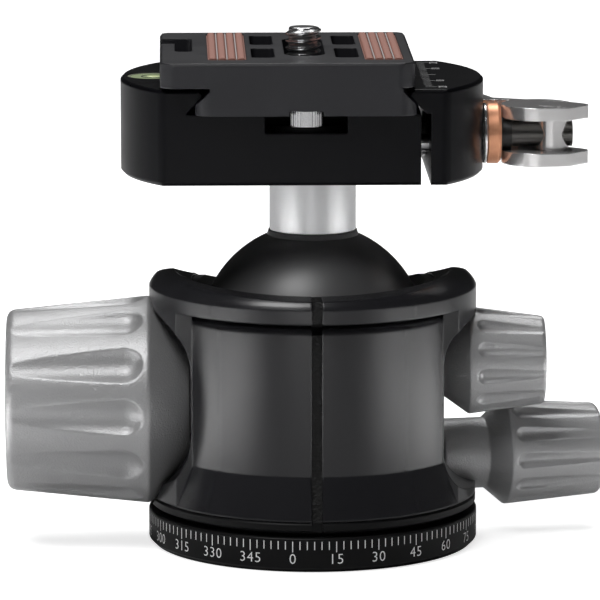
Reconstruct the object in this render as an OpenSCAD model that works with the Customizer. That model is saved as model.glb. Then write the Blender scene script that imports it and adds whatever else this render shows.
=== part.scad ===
// Tripod ball head with a lever-release dovetail clamp and a camera plate.
// Origin: centre of the base's underside. +Z up, front towards -Y.
// The main knob points to -X; the friction and pan knobs point to +X.

/* [Base] */
// Diameter of the graduated base
base_d = 58; // [54:0.5:62]
// Height of the graduated base
base_h = 6.1; // [5:0.1:6.5]
// Bore of the tripod thread (3/8 in - 16, at its minor diameter)
tripod_thread_d = 7.94; // [6:0.01:9]
// Depth of the tripod thread
tripod_thread_l = 9; // [7:0.5:9.5]
// Outer diameter of the steel thread bushing
bushing_d = 13; // [11.5:0.25:14]
// Diameter of the spindle journal
journal_d = 24; // [23:0.5:25]
// Diameter of the spindle's top flange
spindle_flange_d = 30; // [28:0.5:31.5]

/* [Housing] */
// Diameter of the housing at its rim and foot
housing_d = 57.6; // [55:0.2:58]
// Diameter of the housing's waist
waist_d = 53; // [50:0.5:54]
// Height of the index ring under the housing
index_ring_h = 1.6; // [1:0.1:2]
// Height of the flare above the index ring
flare_h = 7.6; // [6:0.2:9]
// Height of the waist's top edge above the base's underside
waist_top_z = 42.5; // [41.5:0.25:43]
// Height of the rim's highest point
rim_top_z = 48.6; // [47.5:0.2:49.5]
// Height of the rim at the front and back, where it is hollowed
rim_low_z = 47.2; // [46.8:0.1:47.4]
// Angle at which the rim falls away behind the middle
rear_fall = 18; // [8:1:20]
// Width of the slit in the front wall
slit_w = 1.8; // [1.2:0.1:2.4]
// Distance of the left flat, behind the main knob, from the axis
left_flat = 21.6; // [21.5:0.05:22]
// Distance of the right flat, behind the two small knobs, from the axis
right_flat = 22.5; // [22:0.1:23]

/* [Ball and stem] */
// Diameter of the ball
ball_d = 40; // [39.4:0.1:40]
// Height of the ball's centre above the base's underside
ball_z = 36.3; // [36.2:0.1:37]
// Diameter of the stem
stem_d = 15.2; // [13:0.2:16]
// Height of the stem's top, where the clamp sits
stem_top_z = 66.1; // [65:0.1:70]

/* [Main knob] */
// Height of the main knob's axis
main_z = 25.2; // [25.2:0.1:26]
// Largest diameter of the main knob
main_d = 36.6; // [34:0.2:36.6]
// Diameter of the main knob at its outer end
main_end_d = 31.6; // [28:0.2:33]
// Length of the main knob's fluted drum
main_drum_l = 25; // [20:0.2:28]
// Diameter of the main locking screw
main_screw_d = 8; // [6:0.5:8]

/* [Small knobs] */
// Height of the friction knob's axis
friction_z = 31.9; // [31.9:0.1:32.6]
// Largest diameter of the friction knob
friction_d = 19; // [17:0.2:19]
// Diameter of the friction knob at its outer end
friction_end_d = 15.4; // [13:0.2:16.8]
// Length of the friction knob's fluted drum
friction_drum_l = 13.4; // [11:0.2:16]
// Height of the pan knob's axis
pan_z = 14.2; // [14:0.1:14.4]
// Largest diameter of the pan knob
pan_d = 18.7; // [16.5:0.1:18.8]
// Diameter of the pan knob at its outer end
pan_end_d = 16.2; // [13:0.2:16.4]
// Length of the pan knob's fluted drum
pan_drum_l = 17.2; // [13:0.2:20]
// Angle that the pan knob is turned towards the back
pan_angle = 10; // [9:0.5:14]
// Diameter of the screws of the two small knobs
small_screw_d = 6; // [4:0.5:6]
// Number of flutes round each knob
flute_count = 12; // [8:1:14]

/* [Clamp] */
// Diameter of the round clamp
clamp_d = 63.4; // [61:0.2:66]
// Thickness of the clamp
clamp_h = 16.6; // [16.2:0.1:17.4]
// Distance between the clamp's front and back flats
clamp_w = 40; // [36:0.5:41]
// Distance of the clamp's centre to the left of the stem's axis
clamp_offset = 1.9; // [0.5:0.1:2.5]
// Gap between the clamp body and the movable jaw
jaw_gap = 1.7; // [1.2:0.1:2.2]
// Diameter of the bubble level
level_d = 8.7; // [7:0.1:8.8]
// Diameter of the draw rod between the clamp body and the lever
rod_d = 4.6; // [3.6:0.2:4.8]
// Distance from the outside of the jaw to the lever's pivot
pivot_reach = 12.2; // [12.2:0.2:13.4]
// Radius of the lever's cam
cam_r = 6.3; // [5.8:0.1:6.4]
// Thickness of each of the lever's two fork plates
fork_t = 2.3; // [1.8:0.1:2.5]

/* [Camera plate] */
// Width of the dovetail foot
foot_w = 38.1; // [37.5:0.1:38.6]
// Length of the plate, front to back
plate_l = 45.2; // [40:0.2:52]
// Thickness of the plate
plate_h = 9.1; // [8.6:0.1:10.5]
// Overhang of the plate beyond the dovetail neck on the left
plate_left = 8.55; // [6:0.05:9]
// Overhang of the plate beyond the dovetail neck on the right
plate_right = 2.15; // [1:0.05:4]
// Diameter of the camera screw (1/4 in - 20)
camera_screw_d = 6.35; // [5:0.05:6.35]
// Length of the camera screw that stands above the plate
camera_screw_out = 3.7; // [3:0.1:6]

/* [Hidden] */
$fn = 96;

// Fits
run_fit = 0.05;     // radial clearance of a shaft that turns or slides
press_fit = 0.02;   // radial clearance of a part that is held fast
ball_fit = 0.05;    // gap between the ball and each of its seats
slide_gap = 0.05;   // gap between flat faces that slide
overcut = 1;        // how far a cutter runs past a face

// Heights of the stack under the ball
pan_gap = 1;
index_z = base_h + pan_gap;
housing_z = index_z + index_ring_h;
housing_r = housing_d / 2;
waist_r = waist_d / 2;
flare_top_z = housing_z + flare_h;
edge_c = 0.3;                                // chamfer of a turned edge
waist_edge_r = 1.4;                          // rounding of the waist's top
strip_gap = 0.2;                             // depth of the slit's strip under the surface
rim_wall_z = waist_top_z + 0.8;              // underside of the rim
rim_edge_z = rim_top_z - 2.8;                // top of the rim's outer wall
rim_inner_r = 21.9;                          // inner edge of the rim
rim_crest_r = 24.5;                          // where the rim is highest
rim_step = 1.65;                             // drop from there to the inner edge
rim_saddle_r = pow(rim_crest_r, 2) / (rim_top_z - rim_low_z) / 2;
cavity_r = spindle_flange_d / 2 + 1.5;       // room round the spindle flange
flange_z = index_z + 4.1;                    // underside of the spindle flange
flange_top_z = flange_z + 4.6;
cavity_top_z = flange_top_z + 0.2;

// Ball and its seats
ball_r = ball_d / 2;
bowl_r = ball_r + 0.35;
seat_r = ball_r + ball_fit;
seat_bore_r = 21.35;                         // outer radius of the upper seat
upper_seat_z = ball_z + 3.2;
upper_seat_top_z = ball_z + 10.1;
seat_lip_r = 19.8;                           // mouth of the upper seat
seat_c = 1.9;                                // chamfer of its mouth
seat_drop = 0.2;                             // depth of its top under the sloping rim
lower_seat_r = 14;
lower_seat_bore_r = 9;
spring_z = cavity_top_z + 0.9;               // ledge that carries the spring
spring_h = 1;
spring_t = 0.5;
lower_seat_z = spring_z + spring_h;
stem_r = stem_d / 2;
neck_r = stem_r + 0.4;                       // collar where the stem meets the ball
neck_z = ball_z + sqrt(ball_r * ball_r - neck_r * neck_r);
stem_z = neck_z + 0.9;
notch_gap = 2;                               // room round the stem in the drop notch
notch_r = stem_r + notch_gap;                // half width of the notch

// Flats behind the knobs
knob_gap = 0.4;                              // gap between the knobs and the housing
hub_gap = 0.1;                               // gap between the knobs' inner ends and the flats
left_r = 11;                                 // rounding of the left flat's foot and head
right_r = 7.5;
side_low_z = housing_z + 1.5;
left_head_z = rim_wall_z;
right_head_z = rim_wall_z - 2.1;

// Main lock
main_inner_x = left_flat + hub_gap;          // inner face of the main knob
main_hub_r = 12;
main_cone_l = 7.2;
main_edge_r = 1.6;
main_screw_r = main_screw_d / 2;
main_bush_r = 6;
main_bush_x = ball_r - 0.8;                  // inner end of the bushing
main_bush_l = 4.6;
shoe_r = 3;
main_cutter_r = 4.5;
main_flute_depth = 1.6;
main_cap_r = 9;
main_cap_t = 1.2;
main_screw_l = 22;

// Friction lock
friction_inner_x = right_flat + hub_gap;
friction_hub_r = 6;
friction_cone_l = 4.9;
small_edge_r = 0.8;
small_screw_r = small_screw_d / 2;
friction_bush_r = 4.6;
friction_bush_x = ball_r + 1;
friction_bush_l = 3.2;
friction_pad_r = 2.6;
small_cutter_r = 1.54;
small_flute_depth = 0.9;
small_flute_out = 0.16;
friction_screw_l = 10;
friction_phase = 8.8;                         // turn of the flutes at rest

// Pan lock
pan_hub_r = 6.3;
pan_neck_x = right_flat + hub_gap;           // inner face of the knob's neck
pan_neck_l = 8.3;
pan_cone_l = 3.5;
pan_pad_r = 1.2;
pan_pad_x = spindle_flange_d / 2 + 0.05;
pan_pad_l = 3.95;
pan_screw_l = 15;

// Clamp
clamp_z = stem_top_z;
clamp_top_z = clamp_z + clamp_h;
clamp_r = clamp_d / 2;
clamp_corner_r = 2;
clamp_edge_c = 0.5;
channel_x = 0.25 - clamp_offset;             // centre of the dovetail channel
channel_z = clamp_top_z - 4.3;               // floor of the channel
foot_r = foot_w / 2;
neck_w = foot_w - 5.1;                       // width of the dovetail neck
foot_edge_h = 1.65;                          // upright edge of the foot
plate_z = channel_z + slide_gap;
dove_z = plate_z + foot_edge_h;              // where the 45 degree face starts
dove_h = (foot_w - neck_w) / 2;
jaw_face = foot_r + dove_z + run_fit * sqrt(2);   // x + z of the jaw's 45 degree face
jaw_root_r = foot_r + 1.45;
jaw_tip_z = channel_z + 3;
jaw_tip_r = jaw_face - jaw_tip_z;
body_side_x = channel_x + jaw_root_r - 0.75; // right side of the clamp body
jaw_side_x = body_side_x + jaw_gap;
jaw_out_x = clamp_r - clamp_offset;
spot_x = jaw_out_x - 0.3;                    // spot face for the washers
spot_r = 5.6;
recess_w = 14.2;                             // relief for the stop pins
recess_h = 3.2;
recess_l = 10;
rod_z = clamp_z + 6.25;
rod_r = rod_d / 2;
rod_x = 5.2;
guide_r = 1.5;
guide_y = 11.5;
guide_x = 9;
guide_l = 15;
guide_room = 1.8;                            // blind bore beyond a guide pin
bolt_r = 3;
bolt_head_r = 4.5;
bolt_head_h = 4.6;
bolt_head_z = channel_z - 5.1;
bolt_l = 16;
level_x = -clamp_offset - clamp_r + level_d / 2 + 1.2;
level_h = 3;
level_wall = 0.5;
jaw_spring_r = 3.9;
jaw_spring_l = 4.8;

// Washers and lever
steel_t = 1.1;
copper_t = 2.3;
washer_r = 5.3;
sleeve_r = 2.85;
sleeve_l = 1.9;
lever_h = 10.3;
lever_z = rod_z - lever_h / 2;
pivot_x = jaw_out_x + pivot_reach;
cam_gap = 0.2;                               // gap between the cam and the copper washer
cam_x = spot_x + steel_t + copper_t + cam_gap + cam_r;
barrel_r = 2.9;
barrel_end_r = 2;
rod_end = barrel_r + 0.6;                    // length of the rod beyond the pivot
rod_sweep_r = sqrt(pow(rod_end, 2) + pow(rod_d / 2, 2));
rod_socket_r = 1.6;
rod_socket_l = 1.2;
cap_r = 3.5;
cap_floor = 0.5;
handle_gap = 0.7;
handle_t = 2.6;
handle_start = 10;
handle_end = 72;
tail_l = 6.2;                                // length of the fork beyond the pivot
web_y = rod_sweep_r + 0.3;                   // front of the web that joins the fork plates

// Camera plate
plate_top_z = plate_z + plate_h;
plate_under_z = dove_z + dove_h + 0.6;       // underside of the plate's flanges
plate_corner_r = 3;
plate_edge_c = 0.4;
slot_w = 4;
slot_l = 13.3;
slot_depth = 3.2;
slot_x = 7.25;
slot_y = 9.1;
slot_shift = 1.5;
slot_r = 1;
screw_slot_w = 7;
screw_slot_l = 25.5;
screw_slot_y = 0.8;
head_r = 5.5;
head_h = 2.6;
head_room_w = 11.8;
head_room_h = 4.1;
head_room_l = 30;
wrench_slot_w = 5.6;
wrench_slot_l = 7.3;
wrench_slot_y = 9.65;
wrench_leg_w = 3;
wrench_leg_l = 18.8;
wrench_leg_y = 3.9;
pad_w = 6.6;
pad_l = 37.5;
pad_y = 1.3;
pad_x = 13.5;
pad_sink = 0.8;
pad_rib_count = 4;
pad_rib_r = 0.55;
stop_y = plate_l / 2 - 3;
stop_r = 2.8;
stop_h = 2.9;
stop_shank_r = 1.5;
stop_shank_l = 4;
stop_bore_r = 4.2;
stop_bore_h = 0.9;

// ---------- shared shapes ----------

// A turned part about +X, from its inner face at x = 0
module turned_x() {
    rotate([90, 0, 90]) rotate_extrude() children();
}

// A cylinder along +X
module rod_along_x(r, l) {
    rotate([0, 90, 0]) cylinder(r = r, h = l);
}

// A tube about the Z axis
module tube(r_out, r_in, h) {
    difference() {
        cylinder(r = r_out, h = h);
        translate([0, 0, -overcut]) cylinder(r = r_in, h = h + 2 * overcut);
    }
}

// Turns a part made along +X to the left side at height z
module on_left(z) {
    translate([0, 0, z]) rotate([0, 0, 180]) children();
}

// Places a part made along +X on the pan knob's axis
module on_pan_axis() {
    translate([0, 0, pan_z]) rotate([0, 0, pan_angle]) children();
}

// Half outline of a knob: cone, drum and rounded outer edge
module knob_outline(hub_r, max_r, end_r, neck_l, cone_l, drum_l, edge_r) {
    l = neck_l + cone_l + drum_l;
    arc = [for (a = [0 : 15 : 90]) [end_r - edge_r + edge_r * cos(a), l - edge_r + edge_r * sin(a)]];
    polygon(concat([[0, 0], [hub_r, 0], [hub_r, neck_l], [max_r, neck_l + cone_l]], arc, [[0, l]]));
}

// Ball-nosed cuts that run out towards the knob's outer end
module flute_cuts(start_x, end_x, start_r, end_r, cutter_r, depth_in, depth_out, phase) {
    in_z = start_r + cutter_r - depth_in;
    out_z = end_r + cutter_r - depth_out;
    slope = atan2(in_z - out_z, end_x - start_x);
    for (i = [0 : flute_count - 1])
        rotate([i * 360 / flute_count + phase, 0, 0]) translate([start_x, 0, in_z]) {
            sphere(r = cutter_r, $fn = 48);
            rotate([0, 90 + slope, 0]) cylinder(r = cutter_r, h = end_x - start_x + 3, $fn = 48);
        }
}

// Rectangle with round corners, centred
module round_rect(w, l, r) {
    square([w - 2 * r, l], center = true);
    square([w, l - 2 * r], center = true);
    for (x = [-1, 1], y = [-1, 1])
        translate([x * (w / 2 - r), y * (l / 2 - r)]) circle(r = r);
}

// ---------- base ----------

module screw_places() {
    for (a = [30, 150, 270])
        rotate([0, 0, a]) translate([(bushing_d + journal_d) / 4, 0, 0]) children();
}

screw_r = 1.25;
screw_head_r = 2.3;
screw_head_h = 1.5;
screw_sink = 0.2;
screw_l = 9;

// Countersunk screw, head down, with an added clearance
module flat_screw(extra) {
    translate([0, 0, screw_sink]) {
        cylinder(r1 = screw_head_r + extra, r2 = screw_r + extra, h = screw_head_h);
        cylinder(r = screw_r + extra, h = screw_l + extra);
    }
}

module base_plate() {
    color("#1b1b1d") difference() {
        rotate_extrude() polygon([
            [0, 0], [base_d / 2 - 0.8, 0], [base_d / 2, 0.8],
            [base_d / 2, base_h - edge_c], [base_d / 2 - edge_c, base_h], [0, base_h]
        ]);
        translate([0, 0, -overcut]) cylinder(r = bushing_d / 2 + press_fit, h = base_h + 2 * overcut);
        screw_places() {
            flat_screw(press_fit);
            translate([0, 0, -overcut]) cylinder(r = screw_head_r + press_fit, h = overcut + screw_sink);
        }
    }
}

module thread_bushing() {
    color("#b9b9bb") difference() {
        cylinder(r = bushing_d / 2, h = tripod_thread_l + 1);
        translate([0, 0, -overcut]) cylinder(r = tripod_thread_d / 2, h = tripod_thread_l + overcut);
    }
}

module base_screws() {
    color("#8f8f92") screw_places() difference() {
        flat_screw(0);
        cylinder(r = 0.9, h = screw_sink + 0.9, $fn = 6);
    }
}

module spindle() {
    color("#9a9a9c") difference() {
        union() {
            translate([0, 0, base_h]) cylinder(r = journal_d / 2, h = flange_top_z - base_h);
            translate([0, 0, flange_z]) cylinder(r = spindle_flange_d / 2, h = flange_top_z - flange_z);
        }
        cylinder(r = bushing_d / 2 + press_fit, h = tripod_thread_l + 1 + press_fit);
        screw_places() flat_screw(press_fit);
    }
}

// ---------- housing ----------

// Room that the main knob, the friction knob and the pan knob's neck need to turn in
module knob_rooms() {
    on_left(main_z) translate([main_inner_x - knob_gap, 0, 0])
        knob_room(main_hub_r, main_d / 2, main_end_d / 2, 0, main_cone_l, main_drum_l);
    translate([friction_inner_x - knob_gap, 0, friction_z])
        knob_room(friction_hub_r, friction_d / 2, friction_end_d / 2, 0, friction_cone_l, friction_drum_l);
    on_pan_axis() translate([pan_neck_x - knob_gap, 0, 0]) rod_along_x(pan_hub_r + knob_gap, housing_d);
}

module index_ring() {
    notch_w = 1.8;
    notch_depth = 0.6;
    color("#202022") difference() {
        translate([0, 0, index_z]) rotate_extrude() polygon([
            [cavity_r + 0.1, 0], [housing_r - edge_c, 0], [housing_r, edge_c],
            [housing_r, index_ring_h - edge_c], [housing_r - edge_c, index_ring_h],
            [cavity_r + 0.1, index_ring_h]
        ]);
        translate([-notch_w / 2, -housing_r - overcut, index_z - overcut])
            cube([notch_w, overcut + notch_depth, index_ring_h + 2 * overcut]);
        knob_rooms();
    }
}

module housing_outline() {
    edge = [for (a = [0 : 15 : 90])
        [waist_r - waist_edge_r + waist_edge_r * cos(a), waist_top_z - waist_edge_r + waist_edge_r * sin(a)]];
    rise = rim_top_z - rim_edge_z;
    run = housing_r - rim_crest_r;
    arc_r = (run * run + rise * rise) / (2 * rise);
    start = asin((arc_r - rise) / arc_r);
    rim = [for (i = [0 : 8]) let (a = start + (90 - start) * i / 8)
        [rim_crest_r + arc_r * cos(a), rim_top_z - arc_r + arc_r * sin(a)]];
    polygon(concat(
        [[0, housing_z], [housing_r - edge_c, housing_z], [housing_r, housing_z + edge_c],
         [waist_r, flare_top_z]],
        edge,
        [[waist_r - waist_edge_r - 0.2, rim_wall_z - 0.2], [housing_r, rim_wall_z]],
        rim,
        [[rim_inner_r, rim_top_z - rim_step], [0, rim_top_z - rim_step]]
    ));
}

// Sloping cut behind the middle of the rim, level with the given height in the middle
module rear_slope(z) {
    translate([-housing_d, 0, z]) rotate([-rear_fall, 0, 0]) cube(2 * housing_d);
}

// Flat cut behind the knobs, with a round foot and head, made on the +X side
module side_cut(flat_x, low_z, high_z, r) {
    y = housing_d;
    translate([flat_x + r, -y / 2, low_z]) cube([housing_d, y, high_z - low_z]);
    translate([flat_x, -y / 2, low_z + r]) cube([r + overcut, y, high_z - low_z - 2 * r]);
    for (z = [low_z + r, high_z - r])
        translate([flat_x + r, 0, z]) rotate([90, 0, 0]) cylinder(r = r, h = y, center = true);
}

// Room for a knob to turn in, made along +X
module knob_room(hub_r, max_r, end_r, neck_l, cone_l, drum_l) {
    turned_x()
        knob_outline(hub_r + knob_gap, max_r + knob_gap, end_r + knob_gap,
                     neck_l, cone_l, drum_l, small_edge_r);
}

// Full-width wall beside the waist, outside the flat on the +X side
module side_wall(flat_x) {
    front_y = sqrt(waist_r * waist_r - flat_x * flat_x) + 0.3;
    intersection() {
        translate([0, 0, housing_z + edge_c]) cylinder(r = housing_r, h = rim_wall_z - housing_z);
        translate([flat_x - 0.3, -front_y, housing_z]) cube([housing_d, 2 * front_y, housing_d]);
    }
}

module housing() {
    color("#3a3a3d") difference() {
        union() {
            rotate_extrude() housing_outline();
            side_wall(right_flat);
            mirror([1, 0, 0]) side_wall(left_flat);
        }
        // bowl and bore for the ball
        translate([0, 0, ball_z]) sphere(r = bowl_r);
        translate([0, 0, ball_z]) cylinder(r = bowl_r, h = rim_top_z - ball_z);
        translate([0, 0, upper_seat_z]) cylinder(r = seat_bore_r + press_fit, h = rim_top_z);
        // room for the lower seat, its spring and the spindle
        translate([0, 0, spring_z]) cylinder(r = lower_seat_r + run_fit, h = 6);
        translate([0, 0, housing_z - overcut]) cylinder(r = cavity_r, h = cavity_top_z - housing_z + overcut);
        translate([0, 0, cavity_top_z - overcut]) cylinder(r = lower_seat_bore_r, h = 3);
        // the rim is hollowed at the front and back
        translate([0, 0, rim_low_z + rim_saddle_r]) rotate([90, 0, 0])
            cylinder(r = rim_saddle_r, h = 2 * housing_d, center = true, $fn = 360);
        rear_slope(rim_top_z);
        // sides
        mirror([1, 0, 0]) side_cut(left_flat, side_low_z, left_head_z, left_r);
        side_cut(right_flat, side_low_z, right_head_z, right_r);
        knob_rooms();
        // slit in front, drop notch behind
        translate([-slit_w / 2, -housing_d, housing_z - overcut])
            cube([slit_w, housing_d - ball_r + 1, rim_top_z]);
        translate([-notch_r, 0, ball_z]) cube([2 * notch_r, housing_d, rim_top_z]);
        translate([0, 0, ball_z]) rotate([-90, 0, 0]) cylinder(r = notch_r, h = housing_d);
        // bores of the three locks
        on_left(main_z) {
            rod_along_x(shoe_r + run_fit, main_bush_x);
            translate([main_bush_x - press_fit, 0, 0]) rod_along_x(main_bush_r + press_fit, housing_d);
        }
        translate([0, 0, friction_z]) {
            rod_along_x(friction_pad_r + run_fit, friction_bush_x);
            translate([friction_bush_x - press_fit, 0, 0])
                rod_along_x(friction_bush_r + press_fit, housing_d);
        }
        on_pan_axis() {
            rod_along_x(pan_pad_r + run_fit, pan_pad_x + pan_pad_l);
            translate([pan_pad_x + pan_pad_l - run_fit, 0, 0])
                rod_along_x(small_screw_r + run_fit, housing_d);
        }
    }
}

module bearing_ring() {
    top_z = flange_z - 0.1;
    color("#6d6d70") translate([0, 0, index_z + 0.1])
        tube(cavity_r - press_fit, journal_d / 2 + run_fit, top_z - index_z - 0.1);
}

module pan_washer() {
    color("#e8e6df") translate([0, 0, base_h])
        tube(housing_r - 3.5, journal_d / 2 + run_fit, pan_gap);
}

module slit_strip() {
    top_z = min(rim_low_z, rim_top_z - 1) - strip_gap;
    groove_r = waist_r - waist_edge_r - strip_gap;
    color("#151515") rotate([90, 0, -90])
        linear_extrude(slit_w - 2 * press_fit, center = true) polygon([
            [bowl_r + strip_gap, housing_z],
            [housing_r - 2 * strip_gap, housing_z],
            [waist_r - strip_gap, flare_top_z],
            [waist_r - strip_gap, waist_top_z - waist_edge_r],
            [groove_r, waist_top_z - strip_gap],
            [groove_r, rim_wall_z],
            [housing_r - strip_gap, rim_wall_z + strip_gap],
            [housing_r - strip_gap, rim_edge_z - strip_gap],
            [housing_r - 2, top_z],
            [seat_bore_r + strip_gap, top_z],
            [seat_bore_r + strip_gap, upper_seat_z - strip_gap],
            [bowl_r + strip_gap, upper_seat_z - strip_gap]
        ]);
}

module upper_ball_seat() {
    color("#121212") difference() {
        translate([0, 0, upper_seat_z]) cylinder(r = seat_bore_r, h = upper_seat_top_z - upper_seat_z);
        translate([0, 0, ball_z]) sphere(r = seat_r);
        translate([0, 0, upper_seat_top_z - seat_c])
            cylinder(r1 = seat_lip_r - seat_c, r2 = seat_lip_r, h = seat_c + 0.01);
        rear_slope(rim_top_z - seat_drop);
        translate([-notch_r, 0, ball_z]) cube([2 * notch_r, housing_d, rim_top_z]);
    }
}

module lower_ball_seat() {
    color("#e4e1d8") difference() {
        translate([0, 0, lower_seat_z]) cylinder(r = lower_seat_r, h = 4);
        translate([0, 0, ball_z]) sphere(r = seat_r);
        translate([0, 0, lower_seat_z - overcut]) cylinder(r = lower_seat_bore_r, h = 4);
    }
}

module disc_spring() {
    color("#8a8a8c") translate([0, 0, spring_z]) rotate_extrude() polygon([
        [lower_seat_bore_r + 0.5, spring_h - spring_t], [lower_seat_r - 0.5, 0],
        [lower_seat_r - 0.1, spring_t], [lower_seat_bore_r + 0.9, spring_h]
    ]);
}

// ---------- main lock ----------

module main_bushing() {
    color("#a9a9ab") on_left(main_z) translate([main_bush_x, 0, 0]) difference() {
        rod_along_x(main_bush_r, main_bush_l);
        translate([-overcut, 0, 0]) rod_along_x(main_screw_r + run_fit, main_bush_l + 2 * overcut);
        // inner end relieved for the ball
        translate([-main_bush_x, 0, ball_z - main_z]) sphere(r = bowl_r);
    }
}

module brake_shoe() {
    color("#b58a3c") difference() {
        on_left(main_z) rod_along_x(shoe_r, main_bush_x - run_fit);
        translate([0, 0, ball_z]) sphere(r = seat_r);
        translate([-lower_seat_r, -lower_seat_r, 0]) cube([2 * ball_r, 2 * lower_seat_r, 2 * ball_z]);
    }
}

module main_screw() {
    color("#77777a") on_left(main_z) translate([main_bush_x, 0, 0]) rod_along_x(main_screw_r, main_screw_l);
}

module main_knob() {
    l = main_cone_l + main_drum_l;
    start_x = main_cone_l + 4.7;
    taper = (main_d - main_end_d) / 2 / main_drum_l;
    color("#a8a8aa") on_left(main_z) translate([main_inner_x, 0, 0]) difference() {
        turned_x()
            knob_outline(main_hub_r, main_d / 2, main_end_d / 2, 0, main_cone_l, main_drum_l, main_edge_r);
        flute_cuts(start_x, l - 0.6, main_d / 2 - 4.7 * taper, main_end_d / 2,
                   main_cutter_r, main_flute_depth, 0, 0);
        // bushing, screw and end cap
        translate([-overcut, 0, 0])
            rod_along_x(main_bush_r + 0.4, main_bush_x + main_bush_l - main_inner_x + 0.4 + overcut);
        rod_along_x(main_screw_r + press_fit, main_bush_x + main_screw_l - main_inner_x + press_fit);
        translate([l - main_cap_t, 0, 0]) rod_along_x(main_cap_r + press_fit, main_cap_t + overcut);
    }
}

module main_knob_cap() {
    color("#8e8e91") on_left(main_z)
        translate([main_inner_x + main_cone_l + main_drum_l - main_cap_t, 0, 0])
            rod_along_x(main_cap_r, main_cap_t - 0.2);
}

// ---------- friction lock ----------

module friction_bushing() {
    color("#a9a9ab") translate([friction_bush_x, 0, friction_z]) difference() {
        rod_along_x(friction_bush_r, friction_bush_l);
        translate([-overcut, 0, 0]) rod_along_x(small_screw_r + run_fit, friction_bush_l + 2 * overcut);
    }
}

module friction_pad() {
    color("#e4e1d8") difference() {
        translate([ball_r / 2, 0, friction_z])
            rod_along_x(friction_pad_r, friction_bush_x - run_fit - ball_r / 2);
        translate([0, 0, ball_z]) sphere(r = seat_r);
    }
}

module friction_screw() {
    color("#77777a") translate([friction_bush_x, 0, friction_z]) rod_along_x(small_screw_r, friction_screw_l);
}

module friction_knob() {
    l = friction_cone_l + friction_drum_l;
    start_x = friction_cone_l + 2.7;
    taper = (friction_d - friction_end_d) / 2 / friction_drum_l;
    color("#a8a8aa") translate([friction_inner_x, 0, friction_z]) difference() {
        turned_x() knob_outline(friction_hub_r, friction_d / 2, friction_end_d / 2, 0,
                                friction_cone_l, friction_drum_l, small_edge_r);
        flute_cuts(start_x, l, friction_d / 2 - 2.7 * taper, friction_end_d / 2,
                   small_cutter_r, small_flute_depth, small_flute_out, friction_phase);
        translate([-overcut, 0, 0]) rod_along_x(
            friction_bush_r + 0.3, friction_bush_x + friction_bush_l - friction_inner_x + 0.4 + overcut);
        rod_along_x(small_screw_r + press_fit,
                    friction_bush_x + friction_screw_l - friction_inner_x + press_fit);
    }
}

// ---------- pan lock ----------

module pan_pad() {
    color("#b58a3c") on_pan_axis() translate([pan_pad_x, 0, 0]) rod_along_x(pan_pad_r, pan_pad_l - run_fit);
}

module pan_screw() {
    color("#77777a") on_pan_axis()
        translate([pan_pad_x + pan_pad_l, 0, 0]) rod_along_x(small_screw_r, pan_screw_l);
}

module pan_knob() {
    l = pan_neck_l + pan_cone_l + pan_drum_l;
    start_x = pan_neck_l + pan_cone_l + 2.3;
    taper = (pan_d - pan_end_d) / 2 / pan_drum_l;
    color("#a8a8aa") on_pan_axis() translate([pan_neck_x, 0, 0]) difference() {
        turned_x()
            knob_outline(pan_hub_r, pan_d / 2, pan_end_d / 2,
                         pan_neck_l, pan_cone_l, pan_drum_l, small_edge_r);
        flute_cuts(start_x, l, pan_d / 2 - 2.3 * taper, pan_end_d / 2,
                   small_cutter_r, small_flute_depth, small_flute_out, 0);
        translate([-overcut, 0, 0])
            rod_along_x(small_screw_r + press_fit,
                        pan_pad_x + pan_pad_l + pan_screw_l - pan_neck_x + overcut + press_fit);
    }
}

// ---------- ball and stem ----------

module ball() {
    spigot_r = stem_r - 2.6;
    color("#232325") difference() {
        union() {
            translate([0, 0, ball_z]) sphere(r = ball_r);
            translate([0, 0, neck_z]) cylinder(r1 = neck_r, r2 = stem_r + 0.2, h = stem_z - neck_z);
        }
        translate([0, 0, stem_z]) cylinder(r = ball_r, h = ball_r);
        translate([0, 0, stem_z - 12]) cylinder(r = spigot_r + press_fit, h = 20);
    }
}

module stem() {
    spigot_r = stem_r - 2.6;
    color("#c4c4c6") difference() {
        union() {
            translate([0, 0, stem_z]) cylinder(r = stem_r, h = stem_top_z - stem_z);
            translate([0, 0, stem_z - 11.9]) cylinder(r = spigot_r, h = 12.9);
        }
        translate([0, 0, bolt_head_z - bolt_l - 0.5]) cylinder(r = bolt_r + press_fit, h = 30);
    }
}

module clamp_bolt() {
    color("#3c3c3e") translate([0, 0, bolt_head_z]) difference() {
        union() {
            cylinder(r = bolt_head_r, h = bolt_head_h);
            translate([0, 0, -bolt_l]) cylinder(r = bolt_r, h = bolt_l + 1);
        }
        translate([0, 0, bolt_head_h - 2.6]) cylinder(r = 2.9, h = 3, $fn = 6);
    }
}

// ---------- clamp ----------

// Round clamp outline with two flats and rounded corners
module clamp_outline() {
    cy = clamp_w / 2 - clamp_corner_r;
    cx = sqrt(pow(clamp_r - clamp_corner_r, 2) - cy * cy);
    k = clamp_r / (clamp_r - clamp_corner_r);
    difference() {
        intersection() {
            circle(r = clamp_r, $fn = 180);
            square([clamp_d + 2, clamp_w], center = true);
        }
        for (x = [-1, 1], y = [-1, 1])
            polygon([
                [x * cx, y * cy], [x * cx, y * (cy + 5)],
                [x * (cx + 8), y * (cy + 8)], [x * cx * k * 1.1, y * cy * k * 1.1]
            ]);
    }
    for (x = [-1, 1], y = [-1, 1])
        translate([x * cx, y * cy]) circle(r = clamp_corner_r);
}

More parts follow.
